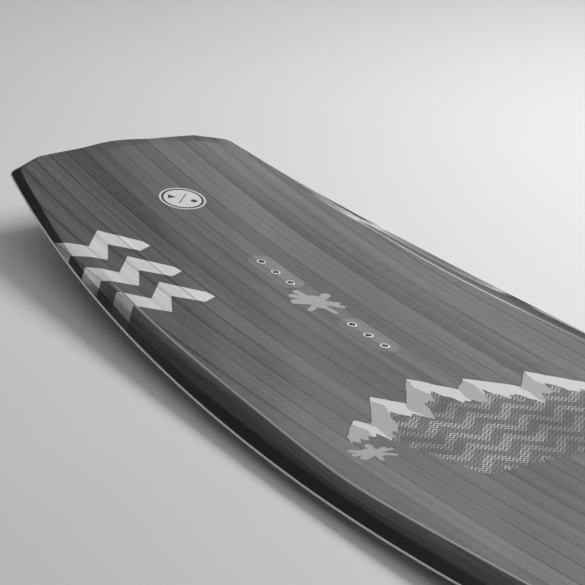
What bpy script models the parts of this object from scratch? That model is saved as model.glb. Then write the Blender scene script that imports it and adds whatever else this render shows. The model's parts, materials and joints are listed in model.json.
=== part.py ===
"""A twin-tip wakeboard of cap construction, as the stack of pieces that it is pressed from.

Frame: X runs along the board from tail to nose, Y across it to its left side, Z up. The origin is on
the ground under the board's centre, where the flat spot of the base rests.
"""

from collections import namedtuple
from math import atan, cos, hypot, pi, sin, tan

import bmesh
import bpy
from mathutils import Matrix, Vector

# Plan shape, in metres.
HALF_WIDTH = 0.2160
RAIL_NARROWING = 0.0756
RAIL_REACH = 0.6600
RAIL_POWER = 1.88
CORNER_X = 0.6747
HORN = (0.6945, 0.0986)
LOBE_FOOT = (0.6974, 0.0583)
TIP_X = 0.7038
CORNER_RADIUS = 0.014
HORN_RADIUS = 0.020
LOBE_STATIONS = (0.040, 0.022, 0.006)
LOBE_TAPER = 0.1  # how fast an inset lobe narrows

# Side profile: both surfaces follow the same curve, from the centre or from the end of the flat spot.
BOARD_THICKNESS = 0.020
DECK_RISE = 0.062
DECK_REACH = 0.700
BASE_RISE = 0.071
ROCKER_QUARTIC = 0.22
FLAT_SPOT = 0.080

# Cross-section of the deck.
CROWN = 0.0028
CROWN_WIDTH = 0.160
CROWN_START = 0.120
CROWN_END = 0.360
CREASE_OFFSET = 0.193
CREASE_SPREAD = 0.078
CREASE_ROUNDING = 0.040
CREASE_INSET_AT_TIP = 0.0235
SLOPE_DROP = 0.0035
SLOPE_DROP_AT_TIP = 0.0008
SLOPE_FADE_START = 0.360
SLOPE_FADE_END = 0.600
BEVEL_WIDTH = 0.0115
BEVEL_WIDTH_AT_TIP = 0.0085
EDGE_DROP = 0.0089
LIP_WIDTH = 0.0012
UNDERBEVEL_WIDTH = 0.022

# Thicknesses of the layers, and the glue line that is left between them.
GAP = 0.0003
TOPSHEET = 0.0008
PATCH = 0.0004
LAMINATE = 0.0008
BASE_SHEET = 0.0015
LAMINATE_INSET = 0.006
EDGE_RAIL_INSET = 0.0075

# Core.
STATION_PITCH = 0.080
CORE_STATIONS = 8
STRIP_WIDTH = 0.020
STRIPS_PER_SIDE = 9
SHORTEST_STRIP_WIDTH = 0.002
CORE_INSIDE_CREASE = 0.003
CORE_INSIDE_RAIL = 0.026
TIP_SPACER_X = 0.6425

# Threaded inserts for the bindings: three at each of four places on the centreline.
INSERT_PITCH = 0.0254
INSERT_GROUPS = {"inner": 9 * INSERT_PITCH, "outer": 15 * INSERT_PITCH}
ENDS = {"nose": 1, "tail": -1}
BARREL_RADIUS = 0.0047
FLANGE_RADIUS = 0.0090
FLANGE_HEIGHT = 0.0015
THREAD_RADIUS = 0.0032
THREAD_DEPTH = 0.0115
PATCH_LENGTH = 0.078
PATCH_WIDTH = 0.027

# Fins: one under each tip, held by two screws.
FIN_X = 0.575
FIN_LENGTH = 0.104
FIN_FOOT_WIDTH = 0.018
FIN_FOOT_HEIGHT = 0.0028
FIN_HEAD_SEAT = 0.0013
BLADE_LENGTH = 0.060
BLADE_DEPTH = 0.024
BLADE_ROOT = 0.0050
BLADE_EDGE = 0.0020
BLADE_FULLNESS = (2.6, 0.6)
FIN_SCREW_X = 0.0405
SCREW_RADIUS = 0.0030
SCREW_HEAD_RADIUS = 0.0055
SCREW_HEAD_HEIGHT = 0.0026
SCREW_LENGTH = 0.0120
SOCKET_RADIUS = 0.0023
SOCKET_DEPTH = 0.0016
FIN_INSERT_RADIUS = 0.0050
FIN_INSERT_LENGTH = 0.0101
FIN_INSERT_CAP = 0.0008

CUT = 0.006  # how far a cutter stands out of what it cuts
ROUND_SIDES = 14
ARC_STEPS = 2
SHARP_ANGLE = pi / 5

Row = namedtuple("Row", "x y inset_x inset_y")


def smooth(value, start, end):
    """0 before start, 1 after end, and an S-curve between them."""
    t = min(1.0, max(0.0, (value - start) / (end - start)))
    return t * t * (3.0 - 2.0 * t)


# The board's surfaces.


def half_width(x):
    return HALF_WIDTH - RAIL_NARROWING * (abs(x) / RAIL_REACH) ** RAIL_POWER


def rocker(u):
    return (1.0 - ROCKER_QUARTIC) * u**2 + ROCKER_QUARTIC * u**4


def rocker_slope(u):
    return 2.0 * (1.0 - ROCKER_QUARTIC) * u + 4.0 * ROCKER_QUARTIC * u**3


def deck_height(x):
    """The deck along the centreline."""
    return BOARD_THICKNESS + DECK_RISE * rocker(abs(x) / DECK_REACH)


def deck_angle(x):
    slope = DECK_RISE / DECK_REACH * rocker_slope(abs(x) / DECK_REACH)
    return atan(slope) if x > 0 else -atan(slope)


def base_height(x):
    reach = TIP_X - FLAT_SPOT
    return BASE_RISE * rocker(max(0.0, abs(x) - FLAT_SPOT) / reach)


def base_angle(x):
    reach = TIP_X - FLAT_SPOT
    slope = BASE_RISE / reach * rocker_slope(max(0.0, abs(x) - FLAT_SPOT) / reach)
    return atan(slope) if x > 0 else -atan(slope)


def deck_surface(x, y):
    """The deck inside its creases, which is crowned towards the tips."""
    crown = CROWN * smooth(abs(x), CROWN_START, CROWN_END)
    return deck_height(x) - crown * (y / CROWN_WIDTH) ** 2


def crease_y(x):
    """The crease runs nearly straight along the middle of the board, and follows the rail near the tips."""
    straight = CREASE_OFFSET - CREASE_SPREAD * hypot(x, CREASE_ROUNDING)
    return min(straight, half_width(x) - CREASE_INSET_AT_TIP)


def slope_drop(x):
    fade = smooth(abs(x), SLOPE_FADE_START, SLOPE_FADE_END)
    return SLOPE_DROP + fade * (SLOPE_DROP_AT_TIP - SLOPE_DROP)


def bevel_width(x):
    fade = smooth(abs(x), RAIL_REACH - 2 * STATION_PITCH, RAIL_REACH)
    return BEVEL_WIDTH + fade * (BEVEL_WIDTH_AT_TIP - BEVEL_WIDTH)


def core_limit(x):
    """How far the core reaches to each side before the edge rail begins."""
    return min(crease_y(x) - CORE_INSIDE_CREASE, half_width(x) - CORE_INSIDE_RAIL)


# The plan outline, as rows across the board from tail to nose.


def mitre(before, corner, after):
    """How the corner moves outwards when both of its sides move out by one unit."""
    first = Vector((before[1] - corner[1], corner[0] - before[0])).normalized()
    second = Vector((corner[1] - after[1], after[0] - corner[0])).normalized()
    return (first + second) / (1.0 + first.dot(second))


def rounded_corner(before, corner, after, radius):
    """Points of the arc that rounds a convex corner, all with the corner's own mitre."""
    out = mitre(before, corner, after)
    corner = Vector(corner)
    towards_start = (Vector(before) - corner).normalized()
    towards_end = (Vector(after) - corner).normalized()
    turn = pi - towards_start.angle(towards_end)
    start = corner + towards_start * radius * tan(turn / 2)
    centre = corner + (towards_start + towards_end).normalized() * radius / cos(turn / 2)
    spoke = start - centre
    rows = []
    for step in range(ARC_STEPS + 1):
        angle = turn * step / ARC_STEPS
        point = centre + Matrix.Rotation(-angle, 2) @ spoke
        rows.append(Row(point.x, point.y, out.x, out.y))
    return rows


def lobe_x(y):
    """The rounded lobe in the middle of the tip."""
    share = cos(pi / 2 * y / LOBE_FOOT[1]) ** 2
    return LOBE_FOOT[0] + share * (TIP_X - LOBE_FOOT[0])


def tip_rows():
    rail_before = (CORE_STATIONS * STATION_PITCH, half_width(CORE_STATIONS * STATION_PITCH))
    corner = (CORNER_X, half_width(CORNER_X))
    rows = [Row(TIP_SPACER_X, half_width(TIP_SPACER_X), 0.0, 1.0)]
    rows += rounded_corner(rail_before, corner, HORN, CORNER_RADIUS)
    rows += rounded_corner(corner, HORN, LOBE_FOOT, HORN_RADIUS)
    rows.append(Row(*LOBE_FOOT, 1.0, LOBE_TAPER))
    for y in LOBE_STATIONS:
        rows.append(Row(lobe_x(y), y, 1.0, LOBE_TAPER * y / LOBE_FOOT[1]))
    return rows


def core_stations():
    count = range(-CORE_STATIONS, CORE_STATIONS + 1)
    return [i * STATION_PITCH for i in count]


def all_rows():
    nose = tip_rows()
    tail = [Row(-r.x, r.y, -r.inset_x, r.inset_y) for r in reversed(nose)]
    rails = [Row(x, half_width(x), 0.0, 1.0) for x in core_stations()]
    return tail + rails + nose


def inset(row, distance):
    return row.x - distance * row.inset_x, row.y - distance * row.inset_y


def crease_inset(row):
    if row.inset_x:
        return CREASE_INSET_AT_TIP
    return row.y - crease_y(row.x)


# Points of the half cross-section, on the left side of the board.


def crease_point(row, depth):
    x, y = inset(row, crease_inset(row))
    return Vector((x, y, deck_surface(x, y) - depth))


def bevel_top_point(row, depth):
    x, y = inset(row, bevel_width(row.x))
    return Vector((x, y, deck_surface(x, y) - slope_drop(x) - depth))


def rim_point(row, depth):
    """The lower end of the bevel, just inside the board's edge."""
    x, y = inset(row, LIP_WIDTH)
    return Vector((x, y, deck_height(row.x) - EDGE_DROP + TOPSHEET + GAP - depth))


def bevel_point(row, distance, depth):
    """A point on the bevel at a distance from the board's edge."""
    low = rim_point(row, depth)
    high = bevel_top_point(row, depth)
    share = (distance - LIP_WIDTH) / (bevel_width(row.x) - LIP_WIDTH)
    return low.lerp(high, share)


def edge_point(row, depth):
    return Vector((row.x, row.y, deck_height(row.x) - EDGE_DROP - depth))


def underbevel_point(row, height):
    x, y = inset(row, UNDERBEVEL_WIDTH)
    return Vector((x, y, base_height(x) + height))


def under_edge_point(row, distance, height):
    """A point on the bevel under the board's edge, at a distance from the edge."""
    low = edge_point(row, BASE_SHEET - height)
    high = underbevel_point(row, height)
    return low.lerp(high, distance / UNDERBEVEL_WIDTH)


def upper_half(row, depth):
    """A layer's crowned side, at a depth under the deck, from the centreline to the crease."""
    outer = crease_point(row, depth)
    points = []
    for y in (0.0, outer.y / 2):
        points.append(Vector((outer.x, y, deck_surface(outer.x, y) - depth)))
    return points + [outer]


def lower_half(row, height):
    """A layer's flat side, at a height over the base, from the centreline to the underbevel."""
    outer = underbevel_point(row, height)
    return [Vector((outer.x, 0.0, outer.z)), outer]


def cap_section(row, depth, thickness, outer_inset):
    """Half section of a layer that follows the deck, over its bevel, to outer_inset."""
    points = upper_half(row, depth)
    points += [bevel_top_point(row, depth), bevel_point(row, outer_inset, depth)]
    below = depth + thickness
    points += [bevel_point(row, outer_inset, below), bevel_top_point(row, below)]
    return points + upper_half(row, below)[::-1]


def tray_section(row, height, thickness, outer_inset):
    """Half section of a layer that follows the base, up its underbevel, to outer_inset."""
    above = height + thickness
    points = lower_half(row, above)
    points.append(under_edge_point(row, outer_inset, above))
    points.append(under_edge_point(row, outer_inset, height))
    return points + lower_half(row, height)[::-1]


LAMINATE_DEPTH = TOPSHEET + PATCH + 2 * GAP
CORE_DEPTH = LAMINATE_DEPTH + LAMINATE + 2.5 * GAP
LAMINATE_HEIGHT = BASE_SHEET + 2 * GAP
CORE_HEIGHT = LAMINATE_HEIGHT + LAMINATE + 2 * GAP


# Mesh tools.


def add_object(name, bm, material):
    bmesh.ops.recalc_face_normals(bm, faces=bm.faces)
    mesh = bpy.data.meshes.new(name)
    bm.to_mesh(mesh)
    bm.free()
    mesh.shade_smooth()
    mesh.set_sharp_from_angle(angle=SHARP_ANGLE)
    mesh.materials.append(material)
    obj = bpy.data.objects.new(name, mesh)
    bpy.context.scene.collection.objects.link(obj)
    return obj


def bridge(bm, first, second, closed):
    """Triangles between two rows of vertices, split the same way in every layer, and alike at both tips."""
    count = len(first)
    towards_nose = first[0].co.x + second[0].co.x > 0
    for i in range(count if closed else count - 1):
        j = (i + 1) % count
        if towards_nose:
            bm.faces.new((first[i], first[j], second[j]))
            bm.faces.new((first[i], second[j], second[i]))
        else:
            bm.faces.new((first[i], first[j], second[i]))
            bm.faces.new((first[j], second[j], second[i]))


def end_cap(bm, left, right, flat):
    """Closes an end. The end of a tip isn't flat, so it's a strip that wraps over the rim."""
    if flat:
        bm.faces.new(left + right[-2:0:-1])
        return
    edges = [i for i in range(len(left) - 1) if left[i].co.x != left[i + 1].co.x]
    first, last = edges[0], edges[-1]
    for i in range(first, last + 1):
        start = 0 if i == first else i
        stop = len(left) - 1 if i == last else i + 1
        face = left[start : stop + 1] + right[start : stop + 1][::-1]
        bm.faces.new(list(dict.fromkeys(face)))


def mirrored_loft(name, half_sections, material, flat_start=False, flat_end=False):
    """A solid through half sections, from the deck's centre round to the base's, and their mirror images."""
    bm = bmesh.new()
    loops = []
    for half in half_sections:
        left = [bm.verts.new(p) for p in half]
        right = [bm.verts.new((p.x, -p.y, p.z)) for p in half[1:-1]]
        loops.append((left, [left[0], *right, left[-1]]))
    for (left_a, right_a), (left_b, right_b) in zip(loops, loops[1:]):
        bridge(bm, left_a, left_b, closed=False)
        bridge(bm, right_a, right_b, closed=False)
    end_cap(bm, *loops[0], flat_start)
    end_cap(bm, *loops[-1], flat_end)
    return add_object(name, bm, material)


def loft(name, sections, material):
    """A solid through closed sections, with flat ends."""
    bm = bmesh.new()
    rings = [[bm.verts.new(p) for p in section] for section in sections]
    for first, second in zip(rings, rings[1:]):
        bridge(bm, first, second, closed=True)
    bm.faces.new(rings[0])
    bm.faces.new(rings[-1])
    return add_object(name, bm, material)


def turned(bm, profile, placement, sides=ROUND_SIDES):
    """Adds a turned body to bm. The profile starts and ends on the axis."""
    rings = []
    for radius, height in profile:
        count = 1 if radius == 0.0 else sides
        ring = []
        for k in range(count):
            angle = 2 * pi * (k + 0.5) / sides
            point = Vector((radius * cos(angle), radius * sin(angle), height))
            ring.append(bm.verts.new(placement @ point))
        rings.append(ring)
    for a, b in zip(rings, rings[1:]):
        for k in range(sides):
            j = (k + 1) % sides
            corners = (a[k % len(a)], a[j % len(a)], b[j % len(b)], b[k % len(b)])
            bm.faces.new(list(dict.fromkeys(corners)))


def turned_object(name, profile, placement, material):
    bm = bmesh.new()
    turned(bm, profile, placement)
    return add_object(name, bm, material)


def cutter(name, bm):
    bmesh.ops.recalc_face_normals(bm, faces=bm.faces)
    mesh = bpy.data.meshes.new(name)
    bm.to_mesh(mesh)
    bm.free()
    obj = bpy.data.objects.new(name, mesh)
    bpy.context.scene.collection.objects.link(obj)
    obj.hide_render = True
    obj.display_type = "WIRE"
    return obj


def bore_cutter(name, placements, radius, low, high):
    """One cutter with a cylinder at each placement, from low to high along its axis."""
    bm = bmesh.new()
    for placement in placements:
        turned(bm, [(0.0, low), (radius, low), (radius, high), (0.0, high)], placement)
    return cutter(name, bm)


def insert_seat_cutter():
    """The stepped hole that each binding insert fills in the stringer, wide at the bottom for its flange."""
    bm = bmesh.new()
    for x in insert_positions().values():
        bottom = -insert_length(x)
        step = bottom + FLANGE_HEIGHT + GAP
        wide = FLANGE_RADIUS + GAP
        narrow = BARREL_RADIUS + GAP
        profile = [(0.0, bottom - CUT), (wide, bottom - CUT), (wide, step), (narrow, step)]
        turned(bm, profile + [(narrow, CUT), (0.0, CUT)], on_deck(x))
    return cutter("insert_seat_cutter", bm)


def cut(obj, tool):
    modifier = obj.modifiers.new("cut_" + tool.name, "BOOLEAN")
    modifier.operation = "DIFFERENCE"
    modifier.solver = "EXACT"
    modifier.object = tool


def material(name, color, roughness, metallic=0.0):
    made = bpy.data.materials.new(name)
    made.use_nodes = True
    shader = made.node_tree.nodes["Principled BSDF"]
    shader.inputs["Base Color"].default_value = (*color, 1.0)
    shader.inputs["Roughness"].default_value = roughness
    shader.inputs["Metallic"].default_value = metallic
    made.diffuse_color = (*color, 1.0)
    return made


# Placements of the small parts.


def on_deck(x):
    """A frame on the deck's centreline, with Z out of the deck."""
    return Matrix.Translation((x, 0.0, deck_height(x))) @ Matrix.Rotation(-deck_angle(x), 4, "Y")


def under_base(x):
    """A frame on the base's centreline, with Z up into the board."""
    return Matrix.Translation((x, 0.0, base_height(x))) @ Matrix.Rotation(-base_angle(x), 4, "Y")


def insert_positions():
    """Name and X of each binding insert."""
    found = {}
    for end, sign in ENDS.items():
        for group, centre in INSERT_GROUPS.items():
            for number in (1, 2, 3):
                x = centre + (number - 2) * INSERT_PITCH
                found[f"{end}_{group}_{number}"] = sign * x
    return found


def fin_screw_positions():
    found = {}
    for end, sign in ENDS.items():
        found[f"{end}_inner"] = sign * (FIN_X - FIN_SCREW_X)
        found[f"{end}_outer"] = sign * (FIN_X + FIN_SCREW_X)
    return found


# The pieces.


def build_topsheet(insert_holes):
    sections = [cap_section(row, 0.0, TOPSHEET, LIP_WIDTH) for row in all_rows()]
    paint = material("clear_topsheet", (0.16, 0.16, 0.16), 0.3)
    cut(mirrored_loft("topsheet", sections, paint), insert_holes)


def build_laminates(insert_holes, fin_holes):
    glass = material("glass_laminate", (0.62, 0.64, 0.58), 0.45)
    top = [cap_section(row, LAMINATE_DEPTH, LAMINATE, LAMINATE_INSET) for row in all_rows()]
    cut(mirrored_loft("top_laminate", top, glass), insert_holes)
    bottom = [tray_section(row, LAMINATE_HEIGHT, LAMINATE, LAMINATE_INSET) for row in all_rows()]
    cut(mirrored_loft("bottom_laminate", bottom, glass), fin_holes)


def build_base_sheet(fin_holes):
    """The base's edge shows beside the topsheet as a thin lip all around."""
    sections = [tray_section(row, 0.0, BASE_SHEET, 0.0) for row in all_rows()]
    paint = material("sintered_base", (0.72, 0.72, 0.70), 0.35)
    cut(mirrored_loft("base_sheet", sections, paint), fin_holes)


def stringer_section(x):
    side = STRIP_WIDTH - GAP / 2
    top = deck_surface(x, side) - CORE_DEPTH
    bottom = base_height(x) + CORE_HEIGHT
    return [Vector((x, y, z)) for y, z in ((-side, top), (side, top), (side, bottom), (-side, bottom))]


def build_stringer(tools):
    """The hardwood stringer down the middle of the core, which holds all the threaded inserts."""
    beech = material("beech", (0.50, 0.33, 0.19), 0.6)
    stringer = loft("core_stringer", [stringer_section(x) for x in core_stations()], beech)
    for tool in tools:
        cut(stringer, tool)


def strip_end(inner):
    """The X at which the core has become too narrow for a strip."""
    low, high = 0.0, CORE_STATIONS * STATION_PITCH
    if core_limit(high) > inner + SHORTEST_STRIP_WIDTH:
        return high
    for _ in range(40):
        middle = (low + high) / 2
        if core_limit(middle) > inner + SHORTEST_STRIP_WIDTH:
            low = middle
        else:
            high = middle
    return low


def strip_section(x, side, inner, outer):
    near = inner + GAP / 2
    far = min(outer, core_limit(x)) - GAP / 2
    bottom = base_height(x) + CORE_HEIGHT
    corners = (
        (near, deck_surface(x, near) - CORE_DEPTH),
        (far, deck_surface(x, far) - CORE_DEPTH),
        (far, bottom),
        (near, bottom),
    )
    return [Vector((x, side * y, z)) for y, z in corners]


def build_core_strips():
    """Lengthwise strips of light wood on both sides of the stringer."""
    paulownia = material("paulownia", (0.66, 0.52, 0.34), 0.7)
    for side_name, side in (("left", 1), ("right", -1)):
        for number in range(1, STRIPS_PER_SIDE + 1):
            inner = number * STRIP_WIDTH
            end = strip_end(inner)
            stations = [x for x in core_stations() if abs(x) < end - STATION_PITCH / 10]
            stations = [-end, *stations, end]
            sections = [strip_section(x, side, inner, inner + STRIP_WIDTH) for x in stations]
            loft(f"core_strip_{side_name}_{number}", sections, paulownia)


def edge_rail_section(row, side):
    inner = core_limit(row.x) + GAP / 2
    top = deck_surface(row.x, inner) - CORE_DEPTH
    bottom = base_height(row.x) + CORE_HEIGHT
    points = [
        Vector((row.x, inner, top)),
        crease_point(row, CORE_DEPTH),
        bevel_top_point(row, CORE_DEPTH),
        bevel_point(row, EDGE_RAIL_INSET, CORE_DEPTH),
        under_edge_point(row, EDGE_RAIL_INSET, CORE_HEIGHT),
        underbevel_point(row, CORE_HEIGHT),
        Vector((row.x, inner, bottom)),
    ]
    return [Vector((p.x, side * p.y, p.z)) for p in points]


def build_edge_rails():
    rubbery = material("edge_urethane", (0.05, 0.05, 0.055), 0.5)
    rows = [row for row in all_rows() if abs(row.x) < CORE_STATIONS * STATION_PITCH + GAP]
    for side_name, side in (("left", 1), ("right", -1)):
        sections = [edge_rail_section(row, side) for row in rows]
        loft(f"edge_rail_{side_name}", sections, rubbery)


def tip_spacer_section(row):
    points = upper_half(row, CORE_DEPTH)
    points += [bevel_top_point(row, CORE_DEPTH), bevel_point(row, EDGE_RAIL_INSET, CORE_DEPTH)]
    points.append(under_edge_point(row, EDGE_RAIL_INSET, CORE_HEIGHT))
    return points + lower_half(row, CORE_HEIGHT)[::-1]


def build_tip_spacers():
    plastic = material("tip_spacer_plastic", (0.10, 0.10, 0.10), 0.45)
    for end, sign in ENDS.items():
        rows = [row for row in all_rows() if row.x * sign > TIP_SPACER_X - GAP]
        sections = [tip_spacer_section(row) for row in rows]
        mirrored_loft(f"tip_spacer_{end}", sections, plastic, sign > 0, sign < 0)


def build_patches(insert_holes):
    """A stadium of glass cloth under the topsheet around each group of inserts."""
    cloth = material("insert_patch_cloth", (0.36, 0.36, 0.36), 0.5)
    radius = PATCH_WIDTH / 2
    half = PATCH_LENGTH / 2 - radius
    sides = ROUND_SIDES // 2
    for end, sign in ENDS.items():
        for group, centre in INSERT_GROUPS.items():
            bm = bmesh.new()
            rings = []
            for depth in (TOPSHEET + GAP, TOPSHEET + GAP + PATCH):
                ring = []
                for turn in range(2 * sides + 2):
                    shift = half if turn <= sides else -half
                    angle = -pi / 2 + pi * (turn - (turn > sides)) / sides
                    x = sign * centre + shift + radius * cos(angle)
                    y = radius * sin(angle)
                    ring.append(bm.verts.new((x, y, deck_surface(x, y) - depth)))
                rings.append(ring)
            upper, lower = rings
            count = len(upper)
            for i in range(count):
                j = (i + 1) % count
                bm.faces.new((upper[i], upper[j], lower[j], lower[i]))
            for ring in rings:
                for i in range(count // 2 - 1):
                    j = count - 1 - i
                    bm.faces.new((ring[i], ring[i + 1], ring[j - 1], ring[j]))
            cut(add_object(f"insert_patch_{end}_{group}", bm, cloth), insert_holes)


def insert_length(x):
    return deck_height(x) - base_height(x) - CORE_HEIGHT - 2 * GAP


def build_inserts():
    """Flanged steel inserts, put in from below and flush with the deck."""
    steel = material("insert_steel", (0.62, 0.62, 0.60), 0.25, metallic=1.0)
    for name, x in insert_positions().items():
        bottom = -insert_length(x)
        profile = [
            (0.0, -THREAD_DEPTH),
            (THREAD_RADIUS, -THREAD_DEPTH),
            (THREAD_RADIUS, 0.0),
            (BARREL_RADIUS, 0.0),
            (BARREL_RADIUS, bottom + FLANGE_HEIGHT),
            (FLANGE_RADIUS, bottom + FLANGE_HEIGHT),
            (FLANGE_RADIUS, bottom),
            (0.0, bottom),
        ]
        turned_object(f"insert_{name}", profile, on_deck(x), steel)


def fin_section(x, centre):
    """Section of the foot, which has rounded ends, and of the blade, which is deepest in the middle."""
    along = abs(x - centre)
    end_radius = FIN_FOOT_WIDTH / 2
    round_end = max(0.0, along - (FIN_LENGTH / 2 - end_radius))
    foot = max(0.0, end_radius**2 - round_end**2) ** 0.5 + BLADE_ROOT / 2
    share = min(1.0, along / (BLADE_LENGTH / 2))
    power, root_power = BLADE_FULLNESS
    blade = (BLADE_DEPTH - FIN_FOOT_HEIGHT) * (1.0 - share**power) ** root_power
    depth = FIN_FOOT_HEIGHT + GAP + blade
    top = base_height(x) - GAP
    root = BLADE_ROOT / 2
    edge = BLADE_EDGE / 2
    half = [(foot, top), (foot, top - FIN_FOOT_HEIGHT), (root, top - FIN_FOOT_HEIGHT), (edge, top - depth)]
    points = half + [(-y, z) for y, z in reversed(half)]
    return [Vector((x, y, z)) for y, z in points]


def fin_stations(centre):
    """Stations are closer together at the rounded ends of the foot and of the blade."""
    blade = BLADE_LENGTH / 2
    shares = [sin(pi / 2 * i / 5) for i in range(6)]
    half = [share * blade for share in shares]
    half += [blade + (FIN_LENGTH / 2 - blade) * share for share in (0.55, 0.80, 0.93, 1.0)]
    return [centre + s for s in [-h for h in reversed(half[1:])] + half]


def build_fins(placements):
    """Each fin has a foot that is screwed to the base, with a counterbore for each screw's head."""
    paint = material("fin_nylon", (0.06, 0.06, 0.06), 0.4)
    shank_radius = SCREW_RADIUS + GAP
    head_radius = SCREW_HEAD_RADIUS + GAP
    below = -BLADE_DEPTH - CUT
    shank = bore_cutter("fin_shank_cutter", placements, shank_radius, below, CUT)
    head = bore_cutter("fin_head_cutter", placements, head_radius, below, -GAP - FIN_HEAD_SEAT)
    for end, sign in ENDS.items():
        centre = sign * FIN_X
        sections = [fin_section(x, centre) for x in fin_stations(centre)]
        fin = loft(f"fin_{end}", sections, paint)
        cut(fin, shank)
        cut(fin, head)


def fin_screw_socket_cutter(screw_positions, head_end):
    sockets = bmesh.new()
    low = head_end - CUT
    high = head_end + SOCKET_DEPTH
    profile = [(0.0, low), (SOCKET_RADIUS, low), (SOCKET_RADIUS, high), (0.0, high)]
    for x in screw_positions.values():
        turned(sockets, profile, under_base(x), sides=6)
    return cutter("screw_socket_cutter", sockets)


def build_fin_screws(screw_positions):
    """Pan-head screws with a hexagon socket."""
    steel = material("screw_steel", (0.55, 0.55, 0.54), 0.3, metallic=1.0)
    under_head = -FIN_HEAD_SEAT - 2 * GAP
    head_end = under_head - SCREW_HEAD_HEIGHT
    sockets = fin_screw_socket_cutter(screw_positions, head_end)
    for name, x in screw_positions.items():
        screw = [
            (0.0, head_end),
            (SCREW_HEAD_RADIUS * 0.70, head_end),
            (SCREW_HEAD_RADIUS * 0.94, head_end + SCREW_HEAD_HEIGHT * 0.3),
            (SCREW_HEAD_RADIUS, head_end + SCREW_HEAD_HEIGHT * 0.7),
            (SCREW_HEAD_RADIUS, under_head),
            (SCREW_RADIUS, under_head),
            (SCREW_RADIUS, under_head + SCREW_LENGTH - SCREW_RADIUS / 3),
            (SCREW_RADIUS * 2 / 3, under_head + SCREW_LENGTH),
            (0.0, under_head + SCREW_LENGTH),
        ]
        cut(turned_object(f"fin_screw_{name}", screw, under_base(x), steel), sockets)


def build_fin_inserts(screw_positions):
    """Blind inserts in the stringer, which take the fin screws."""
    brass = material("fin_insert_brass", (0.55, 0.44, 0.22), 0.35, metallic=1.0)
    mouth = BASE_SHEET + GAP
    blind = mouth + FIN_INSERT_LENGTH
    top = blind + FIN_INSERT_CAP
    for name, x in screw_positions.items():
        socket = [
            (0.0, blind),
            (SCREW_RADIUS + GAP, blind),
            (SCREW_RADIUS + GAP, mouth),
            (FIN_INSERT_RADIUS, mouth),
            (FIN_INSERT_RADIUS, top),
            (0.0, top),
        ]
        turned_object(f"fin_insert_{name}", socket, under_base(x), brass)


def clear_scene():
    for obj in list(bpy.data.objects):
        bpy.data.objects.remove(obj, do_unlink=True)


def main():
    clear_scene()
    inserts = insert_positions()
    deck_frames = [on_deck(x) for x in inserts.values()]
    screws = fin_screw_positions()
    base_frames = [under_base(x) for x in screws.values()]

    barrel_holes = bore_cutter("barrel_cutter", deck_frames, BARREL_RADIUS + GAP, -CUT, CUT)
    fin_hole_top = BASE_SHEET + FIN_INSERT_LENGTH + FIN_INSERT_CAP + 2 * GAP
    fin_holes = bore_cutter("fin_insert_cutter", base_frames, FIN_INSERT_RADIUS + GAP, -CUT, fin_hole_top)

    build_topsheet(barrel_holes)
    build_patches(barrel_holes)
    build_laminates(barrel_holes, fin_holes)
    build_base_sheet(fin_holes)
    build_stringer((insert_seat_cutter(), fin_holes))
    build_core_strips()
    build_edge_rails()
    build_tip_spacers()
    build_inserts()
    build_fins(base_frames)
    build_fin_screws(screws)
    build_fin_inserts(screws)


main()
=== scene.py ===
"""The looks of the wakeboard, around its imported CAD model.

Frame: X runs along the board from tail to nose, Y across it to its left side, Z up, all in metres.
The board rests on its flat spot at the origin, and the camera looks over its right rail at its tail.
"""

import json
from collections import namedtuple
from functools import reduce
from math import atan, cos, hypot, pi, radians, sin, tan

import bmesh
import bpy
from mathutils import Matrix, Vector


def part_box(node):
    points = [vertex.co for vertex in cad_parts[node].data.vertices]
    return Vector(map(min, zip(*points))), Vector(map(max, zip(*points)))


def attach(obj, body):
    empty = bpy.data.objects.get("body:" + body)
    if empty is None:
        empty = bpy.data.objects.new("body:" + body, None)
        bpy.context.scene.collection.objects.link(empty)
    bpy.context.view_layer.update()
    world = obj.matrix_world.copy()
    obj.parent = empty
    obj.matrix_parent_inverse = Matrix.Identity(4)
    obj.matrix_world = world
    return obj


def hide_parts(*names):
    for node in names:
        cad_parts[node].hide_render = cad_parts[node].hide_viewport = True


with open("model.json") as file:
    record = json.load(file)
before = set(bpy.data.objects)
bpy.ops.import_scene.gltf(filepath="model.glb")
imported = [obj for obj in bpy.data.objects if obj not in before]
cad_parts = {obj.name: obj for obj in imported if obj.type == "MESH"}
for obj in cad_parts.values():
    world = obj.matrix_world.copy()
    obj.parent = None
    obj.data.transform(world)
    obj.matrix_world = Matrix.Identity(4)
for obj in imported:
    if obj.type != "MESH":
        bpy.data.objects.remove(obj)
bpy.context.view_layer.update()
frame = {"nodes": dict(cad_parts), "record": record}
nodes = frame["nodes"]

# Plan shape, as in the CAD model.
BASE_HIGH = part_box("base_sheet")[1]
HALF_WIDTH = BASE_HIGH.y
RAIL_NARROWING = 0.0756
RAIL_REACH = 0.6600
RAIL_POWER = 1.88
CORNER_X = 0.6747
HORN = (0.6945, 0.0986)
LOBE_FOOT = (0.6974, 0.0583)
TIP_X = 0.7038
LOBE_TAPER = 0.1
CORNER_RADIUS = 0.014
HORN_RADIUS = 0.020
RAIL_END = 0.6425

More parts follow.
